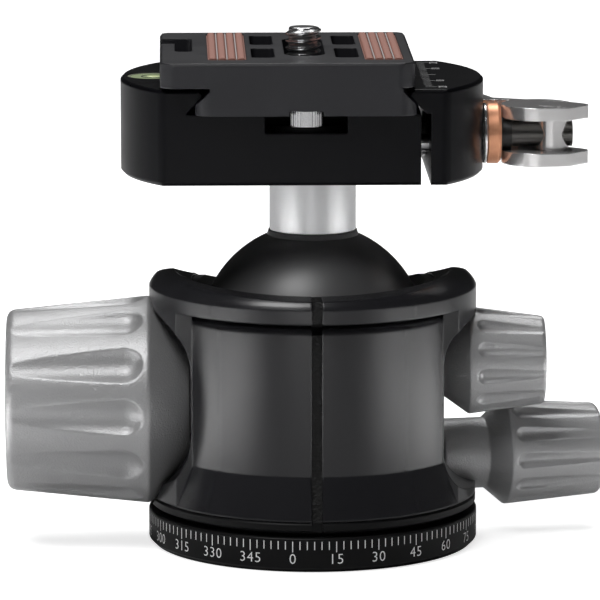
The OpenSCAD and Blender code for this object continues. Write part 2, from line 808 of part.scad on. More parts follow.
// The whole clamp before it is split into body and jaw
module clamp_blank() {
    c = clamp_edge_c;
    translate([-clamp_offset, 0, clamp_z]) intersection() {
        linear_extrude(clamp_h) clamp_outline();
        rotate_extrude($fn = 180) polygon([
            [0, 0], [clamp_r - c, 0], [clamp_r, c],
            [clamp_r, clamp_h - c], [clamp_r - c, clamp_h], [0, clamp_h]
        ]);
        rotate([90, 0, 90]) linear_extrude(clamp_d + 2, center = true) polygon([
            [-clamp_w / 2, c], [-clamp_w / 2 + c, 0], [clamp_w / 2 - c, 0], [clamp_w / 2, c],
            [clamp_w / 2, clamp_h - c], [clamp_w / 2 - c, clamp_h],
            [-clamp_w / 2 + c, clamp_h], [-clamp_w / 2, clamp_h - c]
        ]);
    }
}

// Dovetail channel, front to back
module channel_cut() {
    tip = jaw_tip_r;
    high = clamp_top_z + overcut;
    half = [
        [jaw_root_r, channel_z], [jaw_root_r, jaw_face - jaw_root_r], [tip, jaw_tip_z],
        [tip, jaw_tip_z + 0.3], [tip + 0.8, clamp_top_z], [tip + 0.8, high]
    ];
    other = [for (i = [len(half) - 1 : -1 : 0]) [-half[i][0], half[i][1]]];
    translate([channel_x, 0, 0]) rotate([90, 0, 0])
        linear_extrude(clamp_w + 2 * overcut, center = true) polygon(concat(half, other));
}

module at_guides() {
    for (y = [-guide_y, guide_y]) translate([guide_x, y, rod_z]) children();
}

module clamp_body() {
    color("#18181a") difference() {
        clamp_blank();
        channel_cut();
        translate([body_side_x, -clamp_w, clamp_z - overcut])
            cube([clamp_d, 2 * clamp_w, clamp_h + 2 * overcut]);
        translate([channel_x, -clamp_w, channel_z]) cube([clamp_d, 2 * clamp_w, clamp_h]);
        // relief for the stop pins, open at both ends
        for (y = [-clamp_w / 2 - overcut, clamp_w / 2 - recess_l])
            translate([channel_x - recess_w / 2, y, channel_z - recess_h])
                cube([recess_w, recess_l + overcut, recess_h + overcut]);
        // bolt to the stem
        translate([0, 0, clamp_z - overcut]) cylinder(r = bolt_r + 0.1, h = clamp_h);
        translate([0, 0, bolt_head_z]) cylinder(r = bolt_head_r + 0.1, h = clamp_h);
        // draw rod, its spring and the guide pins
        translate([rod_x - press_fit, 0, rod_z]) rod_along_x(rod_r + press_fit, clamp_d);
        translate([body_side_x - jaw_spring_l, 0, rod_z]) rod_along_x(jaw_spring_r + 0.1, clamp_d);
        at_guides() translate([-press_fit, 0, 0]) rod_along_x(guide_r + press_fit, clamp_d);
        // bubble level
        translate([level_x, 0, clamp_top_z - level_h]) cylinder(r = level_d / 2 + press_fit, h = clamp_h);
    }
}

module level_housing() {
    color("#c9c46a") translate([level_x, 0, clamp_top_z - level_h]) difference() {
        cylinder(r = level_d / 2, h = level_h - 0.1);
        translate([0, 0, level_wall]) cylinder(r = level_d / 2 - level_wall, h = level_h);
    }
}

module level_vial() {
    color("#bfe08a") translate([level_x, 0, clamp_top_z - level_h + level_wall])
        cylinder(r = level_d / 2 - level_wall - press_fit, h = level_h - level_wall - 0.15);
}

module guide_pins() {
    color("#8f8f92") at_guides() rod_along_x(guide_r, guide_l);
}

// Compression spring on the draw rod, drawn as coils on a thin sleeve
module jaw_spring() {
    x = body_side_x - jaw_spring_l;
    wire = 0.5;
    coils = 5;
    l = jaw_side_x - x - 0.1;
    r_in = rod_r + 0.2;
    color("#9a9a9c") translate([x, 0, rod_z]) turned_x() {
        translate([r_in, 0]) square([wire, l]);
        for (i = [0 : coils - 1])
            translate([r_in, i * (l - wire) / (coils - 1)]) square([jaw_spring_r - r_in, wire]);
    }
}

module draw_rod() {
    color("#6a6663") translate([0, 0, rod_z]) difference() {
        translate([rod_x, 0, 0]) rod_along_x(rod_r, pivot_x + rod_end - rod_x);
        translate([pivot_x + rod_end - rod_socket_l, 0, 0]) rod_along_x(rod_socket_r, rod_socket_l + overcut);
    }
}

module pivot_barrel() {
    inner_h = lever_h - 2 * fork_t - 2 * slide_gap;
    color("#d2d2d4") difference() {
        union() {
            translate([pivot_x, 0, rod_z - inner_h / 2]) cylinder(r = barrel_r, h = inner_h);
            translate([pivot_x, 0, lever_z + cap_floor + slide_gap])
                cylinder(r = barrel_end_r, h = lever_h - 2 * cap_floor - 2 * slide_gap);
        }
        translate([pivot_x - 2 * barrel_r, 0, rod_z]) rod_along_x(rod_r + press_fit, 4 * barrel_r);
    }
}

module clamp_jaw() {
    lip_z = channel_z + 0.1;
    color("#18181a") difference() {
        intersection() {
            clamp_blank();
            union() {
                translate([jaw_side_x, -clamp_w, clamp_z - overcut])
                    cube([clamp_d, 2 * clamp_w, clamp_h + 2 * overcut]);
                translate([0, -clamp_w, lip_z]) cube([clamp_d, 2 * clamp_w, clamp_h]);
            }
        }
        difference() {
            channel_cut();
            translate([jaw_side_x, -clamp_w, clamp_z]) cube([clamp_d, 2 * clamp_w, lip_z - clamp_z]);
        }
        translate([-clamp_d, -clamp_w, clamp_z]) cube([clamp_d + channel_x, 2 * clamp_w, 2 * clamp_h]);
        translate([0, 0, rod_z]) rod_along_x(rod_r + 0.1, clamp_d);
        translate([spot_x, 0, rod_z]) rod_along_x(spot_r, clamp_d);
        at_guides() rod_along_x(guide_r + run_fit, guide_l + guide_room);
    }
}

// ---------- washers and lever ----------

module steel_washer() {
    color("#d8d8da") translate([spot_x, 0, rod_z]) turned_x() polygon([
        [rod_r + 0.1, 0], [washer_r - 0.5, 0], [washer_r, 0.5], [washer_r, steel_t - 0.3],
        [washer_r - 0.3, steel_t], [rod_r + 0.1, steel_t]
    ]);
}

module copper_washer() {
    color("#c77a4e") translate([spot_x + steel_t, 0, rod_z]) turned_x() polygon([
        [rod_r + 0.1, 0], [washer_r, 0], [washer_r, copper_t - 0.5],
        [washer_r - 0.5, copper_t], [rod_r + 0.1, copper_t]
    ]);
}

module thrust_sleeve() {
    color("#161616") translate([spot_x + steel_t + copper_t, 0, rod_z]) turned_x()
        translate([rod_r + 0.1, 0]) square([sleeve_r - rod_r - 0.1, sleeve_l]);
}

// Outline of the fork from above: cam, faceted tail and the root of the handle
module fork_outline() {
    root_x = spot_x + steel_t + copper_t + cam_gap;
    translate([cam_x, 0]) circle(r = cam_r);
    polygon([
        [cam_x, -cam_r], [pivot_x + 2.4, -cam_r + 0.4], [pivot_x + tail_l, -cam_r + 4.5],
        [pivot_x + tail_l, -0.6], [pivot_x + tail_l - 1.2, 0.9], [pivot_x + 1.6, cap_r],
        [cam_x, cam_r - 0.9], [root_x + 1.4, cam_r + 1.2], [root_x - 1, washer_r + 3.2],
        [root_x - 1, washer_r + 0.4], [root_x + 1.6, washer_r + 0.4], [cam_x - 2, 0]
    ]);
}

// Curved handle that follows the clamp's side
module handle_outline() {
    r_in = clamp_r + handle_gap;
    translate([-clamp_offset, 0]) {
        rotate(handle_start) rotate_extrude_arc(r_in, handle_t, handle_end - handle_start);
        rotate(handle_end) translate([r_in + handle_t / 2, 0]) circle(r = handle_t / 2);
    }
}

// Part of a ring, from the X axis turned through an angle
module rotate_extrude_arc(r_in, t, sweep) {
    reach = 2 * (r_in + t);
    difference() {
        circle(r = r_in + t, $fn = 180);
        circle(r = r_in, $fn = 180);
        translate([-reach, -reach]) square([2 * reach, reach]);
        rotate(sweep) translate([-reach, 0]) square([2 * reach, reach]);
    }
}

module lever() {
    color("#cfcfd1") difference() {
        translate([0, 0, lever_z]) linear_extrude(lever_h) {
            fork_outline();
            handle_outline();
        }
        // slot between the fork plates, open to the front and the tail
        translate([0, 0, lever_z + fork_t]) linear_extrude(lever_h - 2 * fork_t) polygon([
            [0, -clamp_r], [pivot_x + 2 * tail_l, -clamp_r], [pivot_x + 2 * tail_l, clamp_r],
            [pivot_x + 1, clamp_r], [pivot_x + 1, web_y], [cam_x - 3, web_y],
            [cam_x - 4.5, washer_r + 0.2], [0, washer_r + 0.2]
        ]);
        // bores for the pivot caps
        translate([pivot_x, 0, lever_z - overcut]) cylinder(r = cap_r + press_fit, h = lever_h + 2 * overcut);
    }
}

module pivot_caps() {
    color("#c9c9cb") difference() {
        for (z = [lever_z, lever_z + lever_h - fork_t])
            translate([pivot_x, 0, z]) cylinder(r = cap_r, h = fork_t);
        translate([pivot_x, 0, lever_z + cap_floor])
            cylinder(r = barrel_end_r + run_fit, h = lever_h - 2 * cap_floor);
    }
}

// ---------- camera plate ----------

plate_left_x = channel_x - neck_w / 2 - plate_left;
plate_right_x = channel_x + neck_w / 2 + plate_right;
plate_w = plate_right_x - plate_left_x;
plate_mid_x = (plate_left_x + plate_right_x) / 2;

// Section of the plate across the dovetail
module plate_section() {
    c = plate_edge_c;
    neck_r2 = neck_w / 2;
    neck_z2 = dove_z + dove_h;
    polygon([
        [plate_left_x + c, plate_top_z], [plate_right_x - c, plate_top_z], [plate_right_x, plate_top_z - c],
        [plate_right_x, plate_under_z], [channel_x + neck_r2, plate_under_z], [channel_x + neck_r2, neck_z2],
        [channel_x + foot_r, dove_z], [channel_x + foot_r, plate_z], [channel_x - foot_r, plate_z],
        [channel_x - foot_r, dove_z], [channel_x - neck_r2, neck_z2], [channel_x - neck_r2, plate_under_z],
        [plate_left_x, plate_under_z], [plate_left_x, plate_top_z - c]
    ]);
}

module plate_blank() {
    c = plate_edge_c;
    intersection() {
        rotate([90, 0, 0]) linear_extrude(plate_l, center = true) plate_section();
        union() {
            translate([plate_mid_x, 0, plate_under_z - 0.01]) linear_extrude(plate_h)
                round_rect(plate_w, plate_l, plate_corner_r);
            translate([channel_x, 0, plate_z]) linear_extrude(plate_under_z - plate_z)
                round_rect(foot_w, plate_l, plate_corner_r);
        }
        rotate([90, 0, 90]) linear_extrude(200, center = true) polygon([
            [-plate_l / 2, plate_z], [plate_l / 2, plate_z], [plate_l / 2, plate_top_z - c],
            [plate_l / 2 - c, plate_top_z], [-plate_l / 2 + c, plate_top_z], [-plate_l / 2, plate_top_z - c]
        ]);
    }
}

module pad_pocket(side) {
    translate([channel_x + side * pad_x, pad_y, plate_top_z - pad_sink])
        linear_extrude(pad_sink + overcut) round_rect(pad_w + 2 * press_fit, pad_l + 2 * press_fit, slot_r);
}

module camera_plate() {
    color("#2b2b2d") difference() {
        plate_blank();
        for (x = [-slot_x, slot_x], y = [-slot_y, slot_y])
            translate([channel_x + x, y + slot_shift, plate_top_z - slot_depth])
                linear_extrude(slot_depth + overcut) round_rect(slot_w, slot_l, slot_r);
        // slot and room for the camera screw
        translate([channel_x, screw_slot_y, plate_z - overcut])
            linear_extrude(plate_h + 2 * overcut) round_rect(screw_slot_w, screw_slot_l, 3);
        translate([channel_x, screw_slot_y, plate_z - overcut])
            linear_extrude(head_room_h + overcut) round_rect(head_room_w, head_room_l, head_room_w / 2 - 0.1);
        // open slot at the left edge
        translate([plate_left_x - overcut, wrench_slot_y - wrench_slot_l / 2, plate_top_z - slot_depth])
            cube([wrench_slot_w + overcut - wrench_leg_w / 2, wrench_slot_l, slot_depth + overcut]);
        translate([plate_left_x + wrench_slot_w - wrench_leg_w / 2, wrench_leg_y, plate_top_z - slot_depth])
            linear_extrude(slot_depth + overcut) round_rect(wrench_leg_w, wrench_leg_l, slot_r);
        for (side = [-1, 1]) pad_pocket(side);
        // stop pins
        for (y = [-stop_y, stop_y]) translate([channel_x, y, plate_z - overcut]) {
            cylinder(r = stop_bore_r, h = stop_bore_h + overcut);
            cylinder(r = stop_shank_r + press_fit, h = stop_bore_h + stop_shank_l + overcut);
        }
    }
}

// Ribbed rubber pad, with its ribs along Y
module pad(side) {
    pitch = pad_w / pad_rib_count;
    translate([channel_x + side * pad_x, pad_y, plate_top_z - pad_sink]) {
        linear_extrude(pad_sink - 0.15) round_rect(pad_w, pad_l, slot_r);
        for (i = [0 : pad_rib_count - 1])
            translate([(i - (pad_rib_count - 1) / 2) * pitch, 0, pad_rib_r + 0.02]) rotate([90, 0, 0])
                cylinder(r = pad_rib_r, h = pad_l - 1, center = true, $fn = 24);
    }
}

module pad_left() {
    color("#9c5f4c") pad(-1);
}

module pad_right() {
    color("#9c5f4c") pad(1);
}

module stop_pins() {
    color("#d0d0d2") for (y = [-stop_y, stop_y])
        translate([channel_x, y, plate_z + stop_bore_h - stop_h]) {
            cylinder(r = stop_r, h = stop_h);
            cylinder(r = stop_shank_r, h = stop_h + stop_shank_l - 0.1);
        }
}

module camera_screw() {
    head_z = plate_z + head_room_h - head_h - slide_gap;
    tip_c = 0.6;
    neck_cut = 0.7;
    thread_z = plate_top_z + 0.2;
    shank_top = plate_top_z + camera_screw_out - tip_c;
    color("#cdcdcf") translate([channel_x, 0, 0]) difference() {
        union() {
            translate([0, 0, head_z]) cylinder(r = head_r, h = head_h);
            translate([0, 0, head_z]) cylinder(r = camera_screw_d / 2 - neck_cut, h = shank_top - head_z);
            translate([0, 0, thread_z]) cylinder(r = camera_screw_d / 2, h = shank_top - thread_z);
            translate([0, 0, shank_top])
                cylinder(r1 = camera_screw_d / 2, r2 = camera_screw_d / 2 - tip_c, h = tip_c);
        }
        translate([-head_r, -0.6, head_z - overcut]) cube([2 * head_r, 1.2, overcut + 1.2]);
    }
}

base_plate();
thread_bushing();
base_screws();
spindle();
index_ring();
housing();
bearing_ring();
pan_washer();
slit_strip();
upper_ball_seat();
lower_ball_seat();
disc_spring();
main_bushing();
brake_shoe();
main_screw();
main_knob();
main_knob_cap();
friction_bushing();
friction_pad();
friction_screw();
friction_knob();
pan_pad();
pan_screw();
pan_knob();
ball();
stem();
clamp_bolt();
clamp_body();
level_housing();
level_vial();
guide_pins();
jaw_spring();
draw_rod();
pivot_barrel();
clamp_jaw();
steel_washer();
copper_washer();
thrust_sleeve();
lever();
pivot_caps();
camera_plate();
pad_left();
pad_right();
stop_pins();
camera_screw();
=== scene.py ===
# Tripod ball head with a lever-release dovetail clamp and a camera plate, dressed for its picture.
import math

import bpy
from mathutils import Matrix, Vector


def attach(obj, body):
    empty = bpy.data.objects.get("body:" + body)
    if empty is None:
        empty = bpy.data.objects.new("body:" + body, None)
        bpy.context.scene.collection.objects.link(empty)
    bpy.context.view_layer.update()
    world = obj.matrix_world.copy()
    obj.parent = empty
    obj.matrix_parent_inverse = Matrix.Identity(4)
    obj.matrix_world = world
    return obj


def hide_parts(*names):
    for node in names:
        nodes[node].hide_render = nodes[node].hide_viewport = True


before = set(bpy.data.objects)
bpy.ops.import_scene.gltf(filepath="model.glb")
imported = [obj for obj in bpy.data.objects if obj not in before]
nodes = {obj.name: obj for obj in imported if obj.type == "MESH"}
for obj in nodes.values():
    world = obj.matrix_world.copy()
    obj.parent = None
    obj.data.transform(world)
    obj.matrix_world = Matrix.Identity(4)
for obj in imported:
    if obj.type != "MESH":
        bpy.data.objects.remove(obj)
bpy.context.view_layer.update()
scene = bpy.context.scene

# Camera: a long lens low in front of the head, looking down on it by 10 degrees, a little to the left of
# the slit. Place and turn are solved from the photograph, and the shifts centre the head in the picture.
camera_at = (-0.02541, -0.91535, 0.20015)
camera_pitch = 79.94
camera_turn = -1.59
bpy.ops.object.select_all(action="DESELECT")
bpy.ops.object.camera_add(
    location=camera_at, rotation=(math.radians(camera_pitch), 0, math.radians(camera_turn))
)
camera = bpy.context.object
camera.data.sensor_width = 36
camera.data.lens = 316.4
camera.data.shift_x = -0.0211
camera.data.shift_y = 0.0473
camera.data.clip_end = 20
scene.camera = camera
scene.view_settings.view_transform = "Standard"

# Floor and room: a white paper floor in a dim room. The camera alone sees both as plain white, and the
# floor keeps the head's soft shadow.
white = (1, 1, 1, 1)
room_light = 0.02
world = bpy.data.worlds.new("room")
scene.world = world
world.use_nodes = True
tree = world.node_tree
tree.nodes.clear()
path = tree.nodes.new("ShaderNodeLightPath")
room = tree.nodes.new("ShaderNodeBackground")
room.inputs["Color"].default_value = white
room.inputs["Strength"].default_value = room_light
paper = tree.nodes.new("ShaderNodeBackground")
paper.inputs["Color"].default_value = white
mix = tree.nodes.new("ShaderNodeMixShader")
out = tree.nodes.new("ShaderNodeOutputWorld")
tree.links.new(path.outputs["Is Camera Ray"], mix.inputs["Fac"])
tree.links.new(room.outputs[0], mix.inputs[1])
tree.links.new(paper.outputs[0], mix.inputs[2])
tree.links.new(mix.outputs[0], out.inputs["Surface"])

floor_size = 8
floor_z = -0.00005
floor_glow = 0.75
bpy.ops.mesh.primitive_plane_add(size=floor_size, location=(0, 0, floor_z))
floor = bpy.context.object
floor.name = "floor"
floor_paint = bpy.data.materials.new("white_paper")
floor_paint.use_nodes = True
tree = floor_paint.node_tree
tree.nodes.clear()
path = tree.nodes.new("ShaderNodeLightPath")
matt = tree.nodes.new("ShaderNodeBsdfDiffuse")
matt.inputs["Color"].default_value = (0.8, 0.8, 0.8, 1)
glow = tree.nodes.new("ShaderNodeEmission")
glow.inputs["Color"].default_value = white
lift = tree.nodes.new("ShaderNodeMath")
lift.operation = "MULTIPLY"
lift.inputs[1].default_value = floor_glow
both = tree.nodes.new("ShaderNodeAddShader")
out = tree.nodes.new("ShaderNodeOutputMaterial")
tree.links.new(path.outputs["Is Camera Ray"], lift.inputs[0])
tree.links.new(lift.outputs[0], glow.inputs["Strength"])
tree.links.new(matt.outputs[0], both.inputs[0])
tree.links.new(glow.outputs[0], both.inputs[1])
tree.links.new(both.outputs[0], out.inputs["Surface"])
floor.data.materials.append(floor_paint)


# Lamps: a broad box high in front on the left, another high behind, and three low ones that face the floor
# at the sides and in front. The upright walls of the head mirror the floor that these light.
def softbox(name, at, aim, width, height, watts, spread=180):
    """A rectangular lamp at this place, turned to its aim. Its beam is as wide as the spread in degrees."""
    bpy.ops.object.light_add(type="AREA", location=at)
    lamp = bpy.context.object
    lamp.name = name
    lamp.data.shape = "RECTANGLE"
    lamp.data.size = width
    lamp.data.size_y = height
    lamp.data.energy = watts
    lamp.data.spread = math.radians(spread)
    lamp.rotation_euler = (Vector(aim) - Vector(at)).to_track_quat("-Z", "Y").to_euler()


head_middle = (0, 0, 0.05)
glow_spread = 50
softbox("front_box", (-0.35, -0.5, 1.1), head_middle, 0.6, 0.4, 9)
softbox("back_box", (0, 0.55, 0.9), head_middle, 0.6, 0.4, 5)
softbox("left_glow", (-0.16, -0.06, 0.07), (-0.16, -0.06, 0), 0.1, 0.18, 0.45, glow_spread)
softbox("right_glow", (0.16, -0.06, 0.07), (0.16, -0.06, 0), 0.1, 0.18, 0.35, glow_spread)
softbox("front_glow", (-0.03, -0.31, 0.06), (-0.03, -0.31, 0), 0.14, 0.1, 0.22, glow_spread)


# Base plate: a turned aluminium disc, anodised black, engraved with a scale of degrees that is filled with
# white. Three countersunk screws hold it to the spindle from below.
MM = 0.001


def finish(name, colour, rough, metal=0.0, grain=0.0, grain_size=0.25, edge=0.0, wear=0.0, gloss=0.5):
    """A finish. Grain is the depth of a fine relief and edge the radius of softened edges, both in mm.
    Wear is how far cloudy patches change the roughness."""
    paint = bpy.data.materials.new(name)
    paint.use_nodes = True
    tree = paint.node_tree
    shader = tree.nodes["Principled BSDF"]
    shader.inputs["Base Color"].default_value = (*colour, 1)
    shader.inputs["Roughness"].default_value = rough
    shader.inputs["Metallic"].default_value = metal
    shader.inputs["Specular IOR Level"].default_value = gloss
    place = tree.nodes.new("ShaderNodeTexCoord")
    if wear:
        cloud = tree.nodes.new("ShaderNodeTexNoise")
        cloud.inputs["Scale"].default_value = 90
        cloud.inputs["Detail"].default_value = 4
        tree.links.new(place.outputs["Object"], cloud.inputs["Vector"])
        sheen = tree.nodes.new("ShaderNodeMapRange")
        sheen.inputs["From Min"].default_value = 0.3
        sheen.inputs["From Max"].default_value = 0.7
        sheen.inputs["To Min"].default_value = rough - wear
        sheen.inputs["To Max"].default_value = rough + wear
        tree.links.new(cloud.outputs["Fac"], sheen.inputs["Value"])
        tree.links.new(sheen.outputs["Result"], shader.inputs["Roughness"])
    normal = None
    if edge:
        corner = tree.nodes.new("ShaderNodeBevel")
        corner.samples = 6
        corner.inputs["Radius"].default_value = edge * MM
        normal = corner.outputs["Normal"]
    if grain:
        speck = tree.nodes.new("ShaderNodeTexNoise")
        speck.inputs["Scale"].default_value = 1 / (grain_size * MM)
        speck.inputs["Detail"].default_value = 3
        tree.links.new(place.outputs["Object"], speck.inputs["Vector"])
        relief = tree.nodes.new("ShaderNodeBump")
        relief.inputs["Strength"].default_value = 1
        relief.inputs["Distance"].default_value = grain * MM
        tree.links.new(speck.outputs["Fac"], relief.inputs["Height"])
        if normal:
            tree.links.new(normal, relief.inputs["Normal"])
        normal = relief.outputs["Normal"]
    if normal:
        tree.links.new(normal, shader.inputs["Normal"])
    return paint


def dress(paint, *names):
    """Gives the named solids this finish."""
    for name in names:
        for place in nodes[name].material_slots:
            place.link = "OBJECT"
            place.material = paint


def only(piece):
    """Selects this piece alone."""
    bpy.ops.object.select_all(action="DESELECT")
    piece.select_set(True)
    bpy.context.view_layer.objects.active = piece


def corners(points, steps=6):
    """A closed outline in mm whose corners (x, y, radius) are rounded."""
    line = []
    for i, (x, y, radius) in enumerate(points):
        here = Vector((x, y))
        if not radius:
            line.append(here)
            continue
        back = (Vector(points[i - 1][:2]) - here).normalized()
        ahead = (Vector(points[(i + 1) % len(points)][:2]) - here).normalized()
        half = back.angle(ahead) / 2
        centre = here + (back + ahead).normalized() * radius / math.sin(half)
        first = here + back * radius / math.tan(half) - centre
        last = here + ahead * radius / math.tan(half) - centre
        for k in range(steps + 1):
            turn = first.slerp(last, k / steps)
            line.append(centre + turn.normalized() * radius)
    return line


def outline(name, line, fill="NOTHING"):
    """A ring of points, placed on this line in the X-Y plane."""
    bpy.ops.object.select_all(action="DESELECT")
    bpy.ops.mesh.primitive_circle_add(vertices=len(line), fill_type=fill)
    piece = bpy.context.object
    piece.name = piece.data.name = name
    for corner, (x, y) in zip(piece.data.vertices, line):
        corner.co = (x * MM, y * MM, 0)
    return piece


def stand_up(piece):
    """Turns a flat outline from the X-Y plane into the X-Z plane."""
    for corner in piece.data.vertices:
        corner.co = (corner.co.x, 0, corner.co.y)


def smooth(piece, angle=30):
    """Shades the piece smooth, apart from edges sharper than the angle."""
    only(piece)
    bpy.ops.object.shade_smooth_by_angle(angle=math.radians(angle))


def close_up():
    """Merges the doubles of the mesh in edit mode, turns its faces outwards and leaves edit mode."""
    bpy.ops.mesh.select_all(action="SELECT")
    bpy.ops.mesh.remove_doubles(threshold=1e-7)
    bpy.ops.mesh.delete_loose()
    bpy.ops.mesh.select_all(action="SELECT")
    bpy.ops.mesh.normals_make_consistent(inside=False)
    bpy.ops.object.mode_set(mode="OBJECT")


def turned(name, points, steps=128):
    """A piece turned about Z, from its half section (radius, height, corner radius) in mm."""
    piece = outline(name, corners(points))
    stand_up(piece)
    bpy.ops.object.mode_set(mode="EDIT")
    bpy.ops.mesh.select_all(action="SELECT")
    bpy.ops.mesh.spin(steps=steps, angle=math.tau, center=(0, 0, 0), axis=(0, 0, 1))
    close_up()
    smooth(piece)
    return piece


def pressed(name, points, height):
    """A piece of constant height above this outline (x, y, corner radius) in mm."""
    piece = outline(name, corners(points), "NGON")
    bpy.ops.object.mode_set(mode="EDIT")
    bpy.ops.mesh.select_all(action="SELECT")
    bpy.ops.mesh.extrude_region_move(TRANSFORM_OT_translate={"value": (0, 0, height * MM)})
    close_up()
    smooth(piece)
    return piece


def put(piece, matrix):
    """Moves the piece's mesh. Its object stays at the origin."""
    piece.data.transform(matrix)
    return piece


def shift(x, y, z):
    """A move in mm."""
    return Matrix.Translation((x * MM, y * MM, z * MM))


def spun(angle, axis):
    """A turn in degrees."""
    return Matrix.Rotation(math.radians(angle), 4, axis)


def rod(radius, length, matrix, sides=64):
    """A plain cylinder that stands on z = 0, then is put in place."""
    bpy.ops.object.select_all(action="DESELECT")
    bpy.ops.mesh.primitive_cylinder_add(vertices=sides, radius=radius * MM, depth=length * MM)
    return put(bpy.context.object, matrix @ shift(0, 0, length / 2))


def cut(piece, tool):
    """Cuts the tool out of the piece."""
    only(piece)
    step = piece.modifiers.new("cut", "BOOLEAN")
    step.operation = "DIFFERENCE"
    step.solver = "EXACT"
    step.object = tool
    bpy.ops.object.modifier_apply(modifier=step.name)
    bpy.data.objects.remove(tool, do_unlink=True)


def joined(name, pieces):
    """Several pieces made into one."""
    only(pieces[0])
    for piece in pieces[1:]:
        piece.select_set(True)
    bpy.ops.object.join()
    whole = bpy.context.object
    whole.name = whole.data.name = name
    return whole


def done(piece, paint, body, *stands_for):
    """Gives the piece its finish, its body and the solids that it stands for."""
    piece.data.materials.clear()
    piece.data.materials.append(paint)
    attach(piece, body)
    if stands_for:
        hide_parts(*stands_for)


black_anodised = finish(
    "black_anodised", (0.008, 0.008, 0.0085), rough=0.38, grain=0.004, grain_size=0.2, wear=0.04, gloss=0.12
)
base_r = 29
base_top = 6.1
base_edge = 0.9
base_bore_r = 6.52
screw_hole_r = 2.32
screw_ring_r = 9.25
disc = turned("dial_disc", [
    (base_bore_r, 0, 0.1), (base_r - base_edge, 0, 0.3), (base_r, base_edge, 0.3),
    (base_r, base_top, 0.4), (base_bore_r, base_top, 0.1)
], 180)
for angle in (30, 150, 270):
    cut(disc, rod(screw_hole_r, 3, spun(angle, "Z") @ shift(screw_ring_r, 0, -1.3), 32))
smooth(disc)
done(disc, black_anodised, "base", "base_plate")


# Dial marks: white paint in the engraved scale, a short mark every 2.5 degrees, a long one with its number
# every 15. The zero stands a little to the left of the index notch.
def flat_mark(width, height):
    """A painted mark in the X-Y plane, centred on the origin."""
    bpy.ops.object.select_all(action="DESELECT")
    bpy.ops.mesh.primitive_plane_add(size=1)
    return put(bpy.context.object, Matrix.Diagonal((width * MM, height * MM, 1, 1)))


def lettering(words, size, spacing=1.0, thinning=0.0):
    """Painted figures in the X-Y plane, centred above the origin. Thinning is in mm."""
    bpy.ops.object.text_add()
    text = bpy.context.object.data
    text.body = words
    text.align_x = "CENTER"
    text.size = size * MM
    text.resolution_u = 3
    text.space_character = spacing
    text.offset = -thinning * MM
    bpy.ops.object.convert(target="MESH")
    return bpy.context.object


white_paint = finish("white_paint", (0.95, 0.95, 0.95), rough=0.6)
dial_zero = -8.41
dial_step = 2.5
steps_per_number = 6
number_step = dial_step * steps_per_number
paint_lift = 0.015
mark_r = base_r + paint_lift
mark_top = 5.55
long_mark = 1.9
short_mark = 1.45
number_z = 1.62
marks = []
for i in range(round(360 / dial_step)):
    tall = short_mark if i % steps_per_number else long_mark
    mark = flat_mark(0.17, tall)
    on_rim = shift(0, -mark_r, mark_top - tall / 2) @ spun(90, "X")
    marks.append(put(mark, spun(dial_zero + i * dial_step, "Z") @ on_rim))
for i in range(round(360 / number_step)):
    figure = lettering(str(round(number_step * i)), 2.55, 1.1, 0.02)
    turn = math.radians(dial_zero + number_step * i)
    for corner in figure.data.vertices:
        around = turn + corner.co.x / (mark_r * MM)
        up = number_z * MM + corner.co.y
        corner.co = (mark_r * MM * math.sin(around), -mark_r * MM * math.cos(around), up)
    marks.append(figure)
done(joined("dial_marks", marks), white_paint, "base")

# Spindle, thread bushing and screws: plain turned steel, seen from below and through the gap over the base.
# The bearing ring is bronze, and the washer under the housing is a black plastic.
plain_steel = finish(
    "plain_steel", (0.5, 0.5, 0.51), rough=0.3, metal=1.0, grain=0.002, grain_size=0.3, edge=0.1
)
bronze = finish("bronze", (0.5, 0.33, 0.12), rough=0.4, metal=1.0, grain=0.002, grain_size=0.3)
black_plastic = finish("black_plastic", (0.008, 0.008, 0.008), rough=0.4, grain=0.002, grain_size=0.3)
dress(plain_steel, "thread_bushing", "base_screws", "spindle")
dress(bronze, "bearing_ring")
dress(black_plastic, "pan_washer")

# Housing: one aluminium body, turned, milled flat behind the knobs and anodised charcoal, with a domed rim
# over a groove, a drop notch behind and a slit in front that is closed by a rough black strip.
charcoal_anodised = finish(
    "charcoal_anodised", (0.014, 0.014, 0.016), rough=0.26, grain=0.01, edge=0.5, gloss=0.45
)
black_strip = finish(
    "black_strip", (0.003, 0.003, 0.003), rough=0.5, grain=0.4, grain_size=0.5, gloss=0.3
)
dress(charcoal_anodised, "housing")
dress(black_anodised, "index_ring")
dress(black_strip, "slit_strip")

# Ball and its seats: a turned aluminium ball with a hard dark coating and a short collar at the stem. A
# black plastic seat holds it from above, and a white one on a disc spring from below.
ball_coat = finish("ball_coat", (0.075, 0.075, 0.077), rough=0.42, grain=0.02, gloss=0.7)
white_plastic = finish("white_plastic", (0.75, 0.73, 0.68), rough=0.5)
ball_r = 20
ball_z = 36.3
neck_r = 8
neck_z = ball_z + math.sqrt(ball_r ** 2 - neck_r ** 2)
collar_r = 7.8
collar_z = neck_z + 0.9
socket_r = 5.05
socket_z = neck_z - 10.9
arc_steps = 72
arc = []
for i in range(1, arc_steps + 1):
    tilt = -math.pi / 2 + i / arc_steps * (math.acos(neck_r / ball_r) + math.pi / 2)
    arc.append((ball_r * math.cos(tilt), ball_z + ball_r * math.sin(tilt), 0))
ball = turned("ball", [(0, ball_z - ball_r, 0)] + arc + [
    (collar_r, collar_z, 0.15), (socket_r, collar_z, 0), (socket_r, socket_z, 0), (0, socket_z, 0)
], 160)
done(ball, ball_coat, "ball", "ball")
dress(black_plastic, "upper_ball_seat")
dress(white_plastic, "lower_ball_seat")
dress(plain_steel, "disc_spring")

